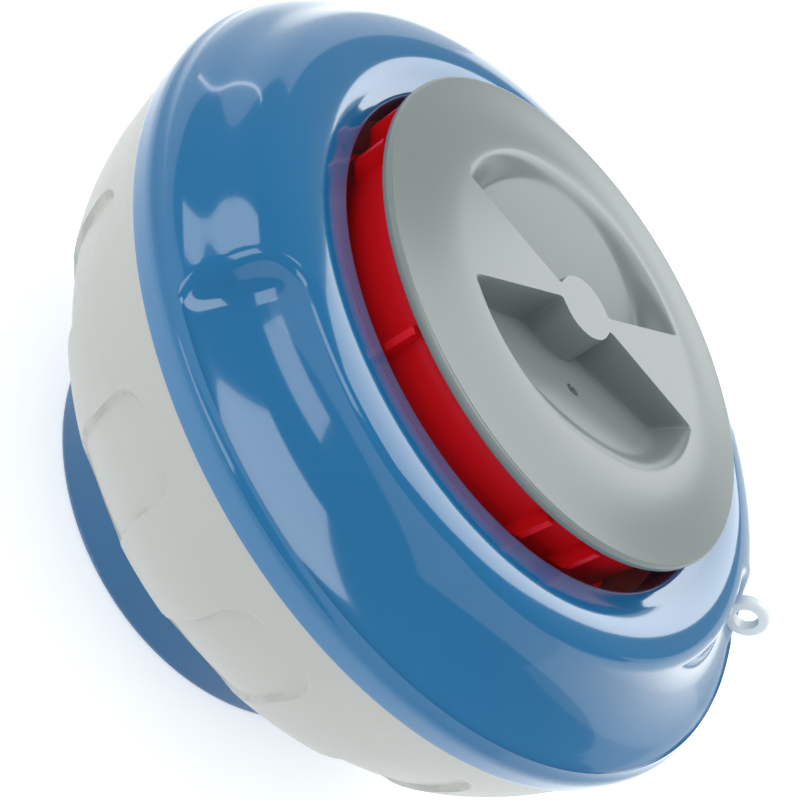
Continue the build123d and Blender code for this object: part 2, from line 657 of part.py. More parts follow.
# Vent valve: small soft flap pressed on the vent boss under the lid.
with BuildPart() as vent_valve:
    with BuildSketch(Plane.XY.offset(VENT_BOSS_LOW - VALVE_THICK)):
        with Locations((VENT_X, VENT_Y)):
            Circle(VALVE_R)
            Circle(VENT_R / 2, mode=Mode.SUBTRACT)
    extrude(amount=VALVE_THICK)
finish(vent_valve.part, "vent_valve")

# Plug ring under the lid, grooved for its seal, and the seal that grips the collar's bore.
SEAL_Z = LID_LOW - PLUG_LENGTH / 2
with BuildPart() as lid_plug:
    add(ring(PLUG_R - PLUG_WALL, PLUG_R, LID_LOW - PLUG_LENGTH, LID_LOW))
    with BuildSketch(Plane.XZ):
        with Locations((PLUG_R, SEAL_Z)):
            Rectangle(SEAL_R * 4, SEAL_R * 2 + SEAT_GAP)
    revolve(axis=Axis.Z, mode=Mode.SUBTRACT)
finish(lid_plug.part, "lid_plug")
lid_seal = cord_ring(PLUG_R + SEAT_GAP - SEAL_R + SEAT_GAP / 2, SEAL_R - SEAT_GAP / 2, SEAL_Z)
finish(lid_seal, "lid_seal")
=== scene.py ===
"""Looks of a floating chlorine dispenser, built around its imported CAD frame.

The dispenser's sizes are in millimetres, as a mould drawing has them, and MM turns them to metres.
The studio's are in metres. The dispenser stands upright on +Z. Azimuths are degrees anticlockwise
from +X, seen from above.
"""

import logging
import math
from dataclasses import dataclass, field
from enum import Enum
from typing import Any, Sequence

import bmesh
import bpy
import numpy as np
from mathutils import Matrix, Vector


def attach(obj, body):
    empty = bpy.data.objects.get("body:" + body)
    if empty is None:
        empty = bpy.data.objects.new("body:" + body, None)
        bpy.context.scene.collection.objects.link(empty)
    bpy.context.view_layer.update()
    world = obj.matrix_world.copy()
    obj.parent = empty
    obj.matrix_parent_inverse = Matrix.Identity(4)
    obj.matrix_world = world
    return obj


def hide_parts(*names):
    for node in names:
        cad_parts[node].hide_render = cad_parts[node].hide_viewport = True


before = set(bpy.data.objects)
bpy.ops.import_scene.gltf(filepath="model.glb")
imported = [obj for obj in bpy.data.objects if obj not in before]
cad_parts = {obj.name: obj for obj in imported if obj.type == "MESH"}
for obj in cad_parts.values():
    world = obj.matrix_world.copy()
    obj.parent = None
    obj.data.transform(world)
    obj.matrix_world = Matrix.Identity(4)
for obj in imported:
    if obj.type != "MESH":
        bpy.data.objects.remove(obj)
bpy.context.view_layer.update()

MM = 0.001
# Points closer than this many metres become one.
WELD = 1e-6
LOG = logging.getLogger("dispenser")
Array = np.ndarray


# --------------------------------------------------------------------------- surfaces
def smooth_step(value: Array, low: float, high: float) -> Array:
    """Blend from 0 to 1 between two values: t*t*(3 - 2t), with t clamped to 0..1.

    Args:
        value: Where the blend is read.
        low: Value with blend 0.
        high: Value with blend 1.

    Returns:
        The blend, the same shape as value.
    """
    t = np.clip((value - low) / (high - low), 0.0, 1.0)
    return t * t * (3.0 - 2.0 * t)


def soft_max(a: Array, b: Array, width: float) -> Array:
    """Larger of two values, rounded where they meet.

    The formula is max(a, b) + h*h/(4*width), with h = width - |a - b| where that is positive.

    Args:
        a: First value.
        b: Second value.
        width: How far from the meeting line the rounding reaches.

    Returns:
        The rounded maximum.
    """
    h = np.maximum(width - np.abs(a - b), 0.0)
    return np.maximum(a, b) + h * h / (4.0 * width)


def curve_through(points: Sequence[tuple[float, float]], count: int) -> Array:
    """Smooth curve through points: cubic Hermite pieces over chord length.

    The tangent at each point is the second-order slope through it and its neighbours.

    Args:
        points: Radius and height of each point.
        count: How many samples the curve gets, ends included.

    Returns:
        Array of count rows of radius and height.
    """
    p = np.asarray(points, float)
    knots = np.concatenate([[0.0], np.cumsum(np.linalg.norm(np.diff(p, axis=0), axis=1))])
    slope = np.gradient(p, knots, axis=0, edge_order=2 if len(p) > 2 else 1)
    at = np.linspace(0.0, knots[-1], count)
    i = np.clip(np.searchsorted(knots, at, side="right") - 1, 0, len(p) - 2)
    span = (knots[i + 1] - knots[i])[:, None]
    t = (at[:, None] - knots[i][:, None]) / span
    return (
        (2 * t**3 - 3 * t**2 + 1) * p[i]
        + (t**3 - 2 * t**2 + t) * span * slope[i]
        + (3 * t**2 - 2 * t**3) * p[i + 1]
        + (t**3 - t**2) * span * slope[i + 1]
    )


def rounded_path(corners: Sequence[tuple[float, float, float]], steps: int, gap: float) -> Array:
    """Profile with rounded corners, each a quadratic curve between points set back on its sides.

    Args:
        corners: Radius, height and set-back of each corner, in order; a set-back of 0 keeps it sharp.
        steps: Samples in each rounded corner.
        gap: Longest distance between samples on a straight run.

    Returns:
        Rows of radius and height, closed by the caller's grid.
    """
    c = np.asarray(corners, float)
    here, back = c[:, :2], c[:, 2]
    ahead, behind = np.roll(here, -1, axis=0), np.roll(here, 1, axis=0)
    to_next = (ahead - here) / np.linalg.norm(ahead - here, axis=1)[:, None]
    to_last = (behind - here) / np.linalg.norm(behind - here, axis=1)[:, None]
    t = np.linspace(0.0, 1.0, steps)[None, :, None]
    start, end = (here + to_last * back[:, None])[:, None], (here + to_next * back[:, None])[:, None]
    bends = (1 - t) ** 2 * start + 2 * t * (1 - t) * here[:, None] + t**2 * end
    rows = []
    for index, bend in enumerate(bends):
        rows.append(bend if back[index] > 0 else bend[:1])
        leave, reach = rows[-1][-1], bends[(index + 1) % len(bends)][0]
        extra = int(np.linalg.norm(reach - leave) // gap)
        rows.append(leave + (reach - leave) * (np.arange(1, extra + 1) / (extra + 1))[:, None])
    return np.concatenate(rows)


def spun(profile: Array, azimuths: Array) -> Array:
    """Surface of revolution: (r cos a, r sin a, z) over a profile and a row of azimuths.

    Args:
        profile: Rows of radius and height.
        azimuths: Azimuths in radians.

    Returns:
        Grid of points, profile by azimuth by xyz.
    """
    r, z = profile[:, 0][:, None], profile[:, 1][:, None]
    return np.stack([r * np.cos(azimuths), r * np.sin(azimuths), z + 0 * azimuths], axis=-1)


def grid_faces(rows: int, columns: int, close_rows: bool, close_columns: bool) -> Array:
    """Quad corners of a grid whose vertex number is row * columns + column.

    Args:
        rows: Vertex rows.
        columns: Vertex columns.
        close_rows: Join the last row to the first.
        close_columns: Join the last column to the first.

    Returns:
        Array of quads, four vertex numbers each.
    """
    i = np.arange(rows if close_rows else rows - 1)[:, None]
    j = np.arange(columns if close_columns else columns - 1)[None, :]
    i2, j2 = (i + 1) % rows, (j + 1) % columns
    quads = np.stack(
        [i * columns + j, i * columns + j2, i2 * columns + j2, i2 * columns + j], axis=-1
    )
    return quads.reshape(-1, 4)


def mesh_piece(
    name: str, points: Array, faces: Array, smooth_angle: float = 40.0
) -> bpy.types.Object:
    """Turn points in millimetres and quads into a piece at the origin, welded and facing outwards.

    Args:
        name: Piece name.
        points: Points, any leading shape by xyz.
        faces: Quads of vertex numbers.
        smooth_angle: Edges sharper than this many degrees stay crisp.

    Returns:
        The new object, linked to the scene.
    """
    mesh = bpy.data.meshes.new(name)
    flat = (np.asarray(points, float).reshape(-1, 3) * MM).astype(np.float32)
    mesh.from_pydata(flat, [], faces)
    mesh.update()
    work = bmesh.new()
    work.from_mesh(mesh)
    bmesh.ops.remove_doubles(work, verts=work.verts, dist=WELD)
    bmesh.ops.dissolve_degenerate(work, edges=work.edges, dist=WELD / 10)
    bmesh.ops.recalc_face_normals(work, faces=work.faces)
    work.to_mesh(mesh)
    work.free()
    mesh.set_sharp_from_angle(angle=math.radians(smooth_angle))
    mesh.polygons.foreach_set("use_smooth", np.ones(len(mesh.polygons), bool))
    mesh.update()
    piece = bpy.data.objects.new(name, mesh)
    bpy.context.scene.collection.objects.link(piece)
    return piece


def around(count: int) -> Array:
    """Even azimuths in radians over a full turn, the last one short of the first."""
    return np.linspace(0.0, 2.0 * np.pi, count, endpoint=False)


# --------------------------------------------------------------------------- finishes
class Gloss(Enum):
    """How a mould's surface was finished, which sets the plastic's gloss."""

    POLISHED = "polished"
    SATIN = "satin"
    SPARKED = "sparked"


@dataclass(frozen=True)
class Surface:
    """Shader values that go with one mould finish."""

    roughness: float
    spread: float
    coat: float
    grain_mm: float
    grain_depth_mm: float


SURFACES = {
    # Polished steel leaves ABS mirror-smooth, with only slow waves from shrinkage.
    Gloss.POLISHED: Surface(0.10, 0.04, 0.6, 18.0, 0.06),
    # Fine stoned steel leaves an even, soft shine.
    Gloss.SATIN: Surface(0.34, 0.08, 0.0, 0.9, 0.006),
    # Spark-eroded steel leaves a fine, soft pebble, drawn at 1 mm so that it shows at all.
    Gloss.SPARKED: Surface(0.24, 0.03, 0.0, 1.0, 0.0015),
}


def linear(hex_colour: str) -> tuple[float, float, float, float]:
    """Turn an sRGB hex colour to linear RGBA: (c/12.92) below 0.04045, else ((c + 0.055)/1.055)^2.4.

    Args:
        hex_colour: Six hex digits.

    Returns:
        Linear red, green, blue and an alpha of 1.
    """
    c = np.array([int(hex_colour[i : i + 2], 16) for i in (0, 2, 4)]) / 255.0
    out = np.where(c <= 0.04045, c / 12.92, ((c + 0.055) / 1.055) ** 2.4)
    return (float(out[0]), float(out[1]), float(out[2]), 1.0)


def add_node(
    tree: bpy.types.NodeTree, kind: str, settings: dict[str, Any] | None = None, **links: Any
) -> bpy.types.Node:
    """Add one shader node with its settings and links.

    Args:
        tree: Node tree it goes into.
        kind: Node type name.
        settings: Node attributes by name, or socket values by the socket's name or number.
        links: Input name, with spaces written as _, or n and the input's number, to the output socket
            that feeds it.

    Returns:
        The new node.
    """
    node = tree.nodes.new(kind)
    for key, value in (settings or {}).items():
        if isinstance(key, int) or key in node.inputs:
            node.inputs[key].default_value = value
        else:
            setattr(node, key, value)
    for key, output in links.items():
        wanted = key.replace("_", " ")
        by_number = key[0] == "n" and key[1:].isdigit()
        target = node.inputs[int(key[1:]) if by_number else wanted]
        tree.links.new(output, target)
    return node


@dataclass(frozen=True)
class MouldedPlastic:
    """Injection-moulded plastic: dyed, with faint flow shading, its mould's grain and water marks."""

    name: str
    colour: str
    shade: str
    gloss: Gloss
    ior: float = 1.49
    translucence: float = 0.0
    glow: str = "ffffff"
    roughness: float | None = None
    coat: float | None = None
    flow_mm: float = 45.0
    mark_mm: float = 2.2
    glow_mm: float = 3.0

    def material(self) -> bpy.types.Material:
        """Build the node material.

        Returns:
            Material with colour, roughness and bump all worked out from Object coordinates.
        """
        surface = SURFACES[self.gloss]
        base_rough = self.roughness if self.roughness is not None else surface.roughness
        made = bpy.data.materials.new(self.name)
        made.use_nodes = True
        tree = made.node_tree
        tree.nodes.clear()
        place = add_node(tree, "ShaderNodeTexCoord").outputs["Object"]
        # Flow shading: the dye is a little denser over patches as wide as the melt's slow swirls.
        flow = add_node(
            tree,
            "ShaderNodeTexNoise",
            {"Scale": 1.0 / (self.flow_mm * MM), "Detail": 3.0, "Roughness": 0.55, "Distortion": 0.4},
            Vector=place,
        )
        body = add_node(
            tree,
            "ShaderNodeMix",
            {"data_type": "RGBA", 6: linear(self.colour), 7: linear(self.shade)},
            n0=flow.outputs["Fac"],
        )
        # Water marks: dried drops leave small spots a little duller than the rest.
        marks = add_node(
            tree,
            "ShaderNodeTexNoise",
            {"Scale": 1.0 / (self.mark_mm * MM), "Detail": 4.0, "Roughness": 0.7},
            Vector=place,
        )
        dull = add_node(
            tree,
            "ShaderNodeMapRange",
            {
                "From Min": 0.35,
                "From Max": 0.75,
                "To Min": base_rough,
                "To Max": base_rough + surface.spread,
            },
            Value=marks.outputs["Fac"],
        )
        grain = add_node(
            tree,
            "ShaderNodeTexNoise",
            {"Scale": 1.0 / (surface.grain_mm * MM), "Detail": 2.0, "Roughness": 0.5},
            Vector=place,
        )
        bump = add_node(
            tree,
            "ShaderNodeBump",
            {"Strength": 0.6, "Distance": surface.grain_depth_mm * MM},
            Height=grain.outputs["Fac"],
        )
        shader = add_node(
            tree,
            "ShaderNodeBsdfPrincipled",
            {
                "IOR": self.ior,
                "Coat Weight": self.coat if self.coat is not None else surface.coat,
                "Coat Roughness": 0.04,
                "Subsurface Weight": self.translucence,
                "Subsurface Radius": linear(self.glow)[:3],
                "Subsurface Scale": self.glow_mm * MM,
            },
            Base_Color=body.outputs[2],
            Roughness=dull.outputs["Result"],
            Normal=bump.outputs["Normal"],
        )
        add_node(tree, "ShaderNodeOutputMaterial", Surface=shader.outputs["BSDF"])
        return made


@dataclass(frozen=True)
class SealRubber:
    """Moulded EPDM rubber: near-black, lightened in patches by bloom, with a fine matte skin."""

    name: str = "moulded_EPDM_rubber"
    colour: str = "1b1c1e"
    bloom: str = "33353a"
    patch_mm: float = 6.0
    skin_mm: float = 0.4
    skin_depth_mm: float = 0.01

    def material(self) -> bpy.types.Material:
        """Build the node material.

        Returns:
            Rubber material worked out from Object coordinates.
        """
        made = bpy.data.materials.new(self.name)
        made.use_nodes = True
        tree = made.node_tree
        tree.nodes.clear()
        place = add_node(tree, "ShaderNodeTexCoord").outputs["Object"]
        patches = add_node(
            tree,
            "ShaderNodeTexNoise",
            {"Scale": 1.0 / (self.patch_mm * MM), "Detail": 4.0},
            Vector=place,
        )
        body = add_node(
            tree,
            "ShaderNodeMix",
            {"data_type": "RGBA", 6: linear(self.colour), 7: linear(self.bloom)},
            n0=patches.outputs["Fac"],
        )
        skin = add_node(
            tree,
            "ShaderNodeTexNoise",
            {"Scale": 1.0 / (self.skin_mm * MM), "Detail": 2.0},
            Vector=place,
        )
        bump = add_node(
            tree,
            "ShaderNodeBump",
            {"Strength": 0.5, "Distance": self.skin_depth_mm * MM},
            Height=skin.outputs["Fac"],
        )
        shader = add_node(
            tree,
            "ShaderNodeBsdfPrincipled",
            {"IOR": 1.52, "Roughness": 0.62},
            Base_Color=body.outputs[2],
            Normal=bump.outputs["Normal"],
        )
        add_node(tree, "ShaderNodeOutputMaterial", Surface=shader.outputs["BSDF"])
        return made


class Finishes:
    """The dispenser's finishes, each built once."""

    def __init__(self) -> None:
        """Build every finish."""
        # Polished ABS: a deep dye under a hard, wet-looking shine.
        self.dome = MouldedPlastic("polished_ABS_blue", "01689d", "006295", Gloss.POLISHED).material()
        self.canister = MouldedPlastic(
            "polished_ABS_deep_blue", "045c8e", "035484", Gloss.POLISHED, coat=0.2
        ).material()
        # Satin ABS and spark-eroded polypropylene: even greys with only a soft sheen.
        self.bowl = MouldedPlastic("satin_ABS_warm_grey", "adaeab", "a7a8a5", Gloss.SATIN).material()
        self.lid = MouldedPlastic(
            "sparked_polypropylene_grey", "7d8685", "777f7f", Gloss.SPARKED
        ).material()
        # Thin polypropylene lets a little light through, which warms the red.
        self.collar = MouldedPlastic(
            "polished_polypropylene_red",
            "fb1a24",
            "ec141d",
            Gloss.POLISHED,
            translucence=0.12,
            glow="ff2010",
            roughness=0.22,
            coat=0.2,
        ).material()
        # Undyed polypropylene is milky and glows where it is thin.
        self.natural = MouldedPlastic(
            "natural_polypropylene", "e9edef", "dfe5e8", Gloss.SATIN, translucence=0.35, glow="f2f6ff"
        ).material()
        self.basket = MouldedPlastic(
            "satin_polypropylene_white", "d9dcdc", "d0d4d5", Gloss.SATIN
        ).material()
        self.rubber = SealRubber().material()


def dress(piece: bpy.types.Object, material: bpy.types.Material) -> None:
    """Give every slot of a piece one material."""
    if piece.material_slots:
        for place in piece.material_slots:
            place.material = material
    else:
        piece.data.materials.append(material)


def settle(
    piece: bpy.types.Object, body: str, slot: str, material: bpy.types.Material, *nodes: str
) -> None:
    """Dress a new piece, let it ride on its body and hide the nodes it stands for.

    Args:
        piece: The new piece.
        body: Body it moves with.
        slot: Not used.
        material: Its material.
        nodes: CAD nodes that it replaces.
    """
    dress(piece, material)
    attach(piece, body)
    if nodes:
        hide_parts(*nodes)
    LOG.info("%s: %d faces on %s", piece.name, len(piece.data.polygons), body)


# --------------------------------------------------------------------------- float
@dataclass
class FloatShell:
    """Blue dome and grey bowl, the two halves of the float. Pairs are radius and height."""

    mouth_r: float = 62.5
    mouth_z: float = 103.0
    lip_low: float = 92.0
    lip_wall: float = 2.5
    lip_round: float = 1.3
    lip_land: float = 4.0
    crest: tuple[float, float] = (75.5, 105.4)
    past_crest: tuple[float, float] = (84.6, 102.6)
    shoulder: tuple[float, float] = (91.3, 95.8)
    past_shoulder: tuple[float, float] = (96.0, 91.3)
    groove: tuple[float, float] = (97.9, 88.4)
    valley: tuple[float, float] = (97.35, 89.5)
    rim_r: float = 99.3
    band_top: float = 87.0
    seam_z: float = 81.0
    wall: float = 2.2
    channel_centre: tuple[float, float] = (101.0, 110.6)
    channel_round: float = 22.0
    channel_start: float = 249.0
    channel_arc: float = 129.0
    channel_snub: float = 1.8
    channel_edge: float = 2.6
    bowl: tuple[tuple[float, float], ...] = (
        (98.3, 81.0), (97.13, 71.24), (95.66, 62.06), (91.56, 49.43), (83.65, 37.38), (69.0, 23.6)
    )
    bowl_mouth_r: float = 66.8
    bowl_foot_z: float = 23.2
    bowl_collar_z: float = 34.6
    tuck_r: float = 88.0
    tuck_z: float = 84.0
    petals: int = 13
    petal_phase: float = 258.5
    petal_half: float = 11.0
    petal_z: tuple[float, float] = (28.0, 71.5)
    petal_corner: float = 7.0
    petal_depth: float = 1.2
    petal_edge: float = 0.6
    # Degrees from a petal's middle, between which its edge runs.
    petal_side: tuple[float, float] = (4.6, 9.6)
    # Height from a petal's end, within which its round runs.
    petal_end: float = 4.5
    turns: int = 624

    def scoop(self, points: Array, reach: float) -> Array:
        """Push points out of the channel.

        Each point keeps its bearing from the channel's middle arc and moves to the rounded maximum of
        its own distance and the channel's radius. Distance past an end counts snub times over, so the
        ends are blunt.

        Args:
            points: Surface points.
            reach: Radius of the channel's round, plus the wall for the inside.

        Returns:
            The moved points.
        """
        start, arc = math.radians(self.channel_start), math.radians(self.channel_arc)
        turn = np.mod(np.arctan2(points[..., 1], points[..., 0]) - start, 2 * np.pi)
        past = turn - arc
        near = np.where(past > 0, np.where(past < (2 * np.pi - arc) / 2, arc, 0.0), turn) + start
        r, z = self.channel_centre
        middle = np.stack([r * np.cos(near), r * np.sin(near), z + 0 * near], axis=-1)
        away = points - middle
        along = np.stack([-np.sin(near), np.cos(near), 0 * near], axis=-1)
        past_end = np.sum(away * along, axis=-1)
        distance = np.sqrt(np.sum(away * away, axis=-1) + (self.channel_snub**2 - 1.0) * past_end**2)
        pushed = soft_max(distance, np.full_like(distance, reach), self.channel_edge)
        return middle + away * (pushed / distance)[..., None]

    def dome(self) -> bpy.types.Object:
        """Build the dome: a spun profile with the channel pushed in, and its lining a wall deeper.

        Returns:
            The closed dome.
        """
        azimuths = around(self.turns)
        lip = rounded_path(
            [
                (self.mouth_r, self.lip_low, 0.3),
                (self.mouth_r, self.mouth_z + 0.1, self.lip_round),
                (self.mouth_r + self.lip_land, self.mouth_z + 1.0, 0.0),
            ],
            7,
            1.6,
        )
        climb = lip[: int(np.argmax(lip[:, 1])) + 1]
        ring_points = [self.crest, self.past_crest, self.shoulder, self.past_shoulder, self.valley]
        crown = curve_through([tuple(climb[-1]), *ring_points], 78)[1:]
        inside_r = self.rim_r - self.wall
        band = rounded_path(
            [
                (self.valley[0], self.valley[1], 0.0),
                (self.groove[0] + 0.1, self.band_top + 0.9, 1.1),
                (self.rim_r, self.band_top - 0.7, 1.4),
                (self.rim_r, self.seam_z, 0.5),
                (inside_r, self.seam_z, 0.3),
                (inside_r, self.groove[1], 0.0),
            ],
            5,
            1.2,
        )
        stop = int(np.argmin(np.abs(band[:, 0] - inside_r) + np.abs(band[:, 1] - self.groove[1])))
        inner = curve_through(
            [
                (inside_r - 0.6, self.groove[1]),
                (self.shoulder[0] - self.wall, self.shoulder[1] - self.wall),
                (self.crest[0], self.crest[1] - self.wall),
                (self.mouth_r + self.lip_wall, self.mouth_z - self.wall),
            ],
            30,
        )
        outer = self.scoop(spun(np.concatenate([climb, crown]), azimuths), self.channel_round)
        hem = spun(band[1 : stop + 1], azimuths)
        lining = self.scoop(spun(inner, azimuths), self.channel_round + self.wall)
        foot = spun(np.array([(self.mouth_r + self.lip_wall, self.lip_low)]), azimuths)
        points = np.concatenate([outer, hem, lining, foot])
        faces = grid_faces(len(points), self.turns, True, True)
        return mesh_piece("float_dome", points, faces, 50.0)

    def petal_sink(self, points: Array) -> Array:
        """Depth of the petals: full inside a rounded rectangle on each petal's tangent plane.

        Args:
            points: Surface points.

        Returns:
            Depth at each point.
        """
        pitch = 2 * np.pi / self.petals
        turn = np.arctan2(points[..., 1], points[..., 0]) - math.radians(self.petal_phase)
        local = np.mod(turn + pitch / 2, pitch) - pitch / 2
        across = np.abs(np.hypot(points[..., 0], points[..., 1]) * np.sin(local))
        low, high = self.petal_z
        up = np.abs(points[..., 2] - (low + high) / 2)
        over_x = across - (self.petal_half - self.petal_corner)
        over_z = up - ((high - low) / 2 - self.petal_corner)
        edge = (
            np.hypot(np.maximum(over_x, 0), np.maximum(over_z, 0))
            + np.minimum(np.maximum(over_x, over_z), 0)
            - self.petal_corner
        )
        return self.petal_depth * smooth_step(-edge, -self.petal_edge / 2, self.petal_edge / 2)

    def bowl_shell(self) -> bpy.types.Object:
        """Build the bowl: a spun profile whose outside sinks by the petal depth inside each petal.

        Returns:
            The closed bowl.
        """
        # Columns and rows crowd where the petals' edges run.
        pitch = 360.0 / self.petals
        half = np.concatenate(
            [
                np.linspace(0.0, self.petal_side[0], 5, endpoint=False),
                np.linspace(*self.petal_side, 13, endpoint=False),
                np.linspace(self.petal_side[1], pitch / 2, 4, endpoint=False),
            ]
        )
        steps = np.concatenate([half, [pitch / 2], pitch - half[:0:-1]])
        bearings = self.petal_phase + pitch * np.arange(self.petals)[:, None] + steps[None, :]
        azimuths = np.radians(bearings.ravel())
        side = curve_through(self.bowl, 181)
        to_end = np.min(np.abs(side[:, 1][:, None] - np.array(self.petal_z)[None, :]), axis=1)
        side = side[(np.arange(len(side)) % 2 == 0) | (to_end < self.petal_end)]
        outer = spun(side, azimuths)
        radius = np.hypot(outer[..., 0], outer[..., 1])
        keep = 1.0 - self.petal_sink(outer) / radius
        outer[..., :2] *= keep[..., None]
        inner_side = curve_through(
            [(r - self.wall, z + 0.02 * (self.seam_z - z)) for r, z in self.bowl], 30
        )[::-1]
        hem_r = self.rim_r - self.wall - 0.1
        # The rim is a flat step that tucks up inside the dome's band.
        rim = np.array(
            [
                (inner_side[-1][0], self.seam_z - 0.5),
                (self.tuck_r, self.seam_z + 0.8),
                (self.tuck_r, self.tuck_z),
                (hem_r - 0.3, self.tuck_z),
                (hem_r, self.tuck_z - 0.3),
                (hem_r, self.seam_z + 0.1),
                (self.bowl[0][0] - 0.3, self.seam_z),
            ]
        )
        # The foot turns up as a short collar round the sleeve.
        foot_r, foot_top = self.bowl[-1]
        foot = np.array(
            [
                (foot_r - 0.8, self.bowl_foot_z),
                (self.bowl_mouth_r + 0.4, self.bowl_foot_z),
                (self.bowl_mouth_r, foot_top),
                (self.bowl_mouth_r, self.bowl_collar_z),
                (foot_r, self.bowl_collar_z),
                (foot_r, foot_top + 3.4),
            ]
        )
        rest = [spun(rows, azimuths) for rows in (foot, inner_side[1:], rim[1:])]
        points = np.concatenate([outer, *rest])
        faces = grid_faces(len(points), len(azimuths), True, True)
        return mesh_piece("float_bowl", points, faces, 50.0)

    def build(self, finishes: Finishes) -> None:
        """Make and settle the float's pieces."""
        settle(self.dome(), "float", "dome_blue", finishes.dome, "upper_float_shell")
        settle(self.bowl_shell(), "float", "bowl_grey", finishes.bowl, "lower_float_shell")


# --------------------------------------------------------------------------- collar
@dataclass
class IndicatorCollar:
    """Red band with short upright ribs."""

    radius: float = 57.0
    wall: float = 2.0
    low: float = 60.0
    high: float = 111.0
    flange_r: float = 61.6
    flange_z: tuple[float, float] = (76.0, 78.0)
    rib_reach: float = 3.8
    rib_half: float = 0.9
    rib_z: tuple[float, float] = (101.6, 110.1)
    rib_ramp: float = 3.8
    rib_azimuths: tuple[float, ...] = tuple(
        258.0 + side + offset for side in (0.0, 180.0) for offset in (-59.0, -45.0, 0.0, 45.0, 59.0)
    )

    def build(self, finishes: Finishes) -> None:
        """Make the collar: a spun wall that stands out where the two blends of a rib are 1."""
        edges = np.array([-1.35, -1.1, -0.9, -0.7, -0.5, -0.2, 0.2, 0.5, 0.7, 0.9, 1.1, 1.35])
        ribs = np.mod(np.radians(np.array(self.rib_azimuths)), 2 * np.pi)
        fine = (ribs[:, None] + edges[None, :] / self.radius).ravel()
        azimuths = np.unique(np.round(np.concatenate([around(300), np.mod(fine, 2 * np.pi)]), 6))
        low, high = self.rib_z
        heights = np.concatenate(
            [
                np.linspace(self.flange_z[1] + 0.3, low - self.rib_ramp - 1, 6),
                np.linspace(low - self.rib_ramp - 0.6, low + 0.8, 12),
                np.linspace(low + 1.6, high - 0.8, 6),
                np.linspace(high - 0.5, high + 0.3, 6),
                [self.high - 0.4],
            ]
        )
        outer = np.concatenate(
            [
                [(self.radius, self.low + 0.5), (self.radius, self.flange_z[0] - 0.1)],
                [(self.flange_r - 0.3, self.flange_z[0]), (self.flange_r, self.flange_z[0] + 0.3)],
                [(self.flange_r, self.flange_z[1] - 0.3), (self.flange_r - 0.3, self.flange_z[1])],
                [(self.radius + 0.4, self.flange_z[1])],
                np.stack([np.full_like(heights, self.radius), heights], axis=-1),
                [(self.radius - 0.4, self.high), (self.radius - self.wall + 0.3, self.high)],
                [(self.radius - self.wall, self.high - 0.3), (self.radius - self.wall, self.low)],
            ]
        )
        points = spun(outer, azimuths)
        gap = np.abs(azimuths[None, :] - ribs[:, None])
        side = np.min(np.minimum(gap, 2 * np.pi - gap), axis=0) * self.radius
        across = 1.0 - smooth_step(side, self.rib_half - 0.22, self.rib_half + 0.22)
        z = outer[:, 1]
        ramp = np.clip((z - low + self.rib_ramp) / self.rib_ramp, 0, 1)
        along = ramp * (1 - smooth_step(z, high - 0.2, high + 0.25))
        on_wall = (np.abs(outer[:, 0] - self.radius) < 1e-6) & (z > self.flange_z[1])
        reach = self.rib_reach * (along * on_wall)[:, None] * across[None, :]
        points[..., 0] += reach * np.cos(azimuths)
        points[..., 1] += reach * np.sin(azimuths)
        faces = grid_faces(len(outer), len(azimuths), True, True)
        piece = mesh_piece("indicator_band", points, faces, 35.0)
        settle(piece, "cartridge", "collar_red", finishes.collar, "indicator_collar")


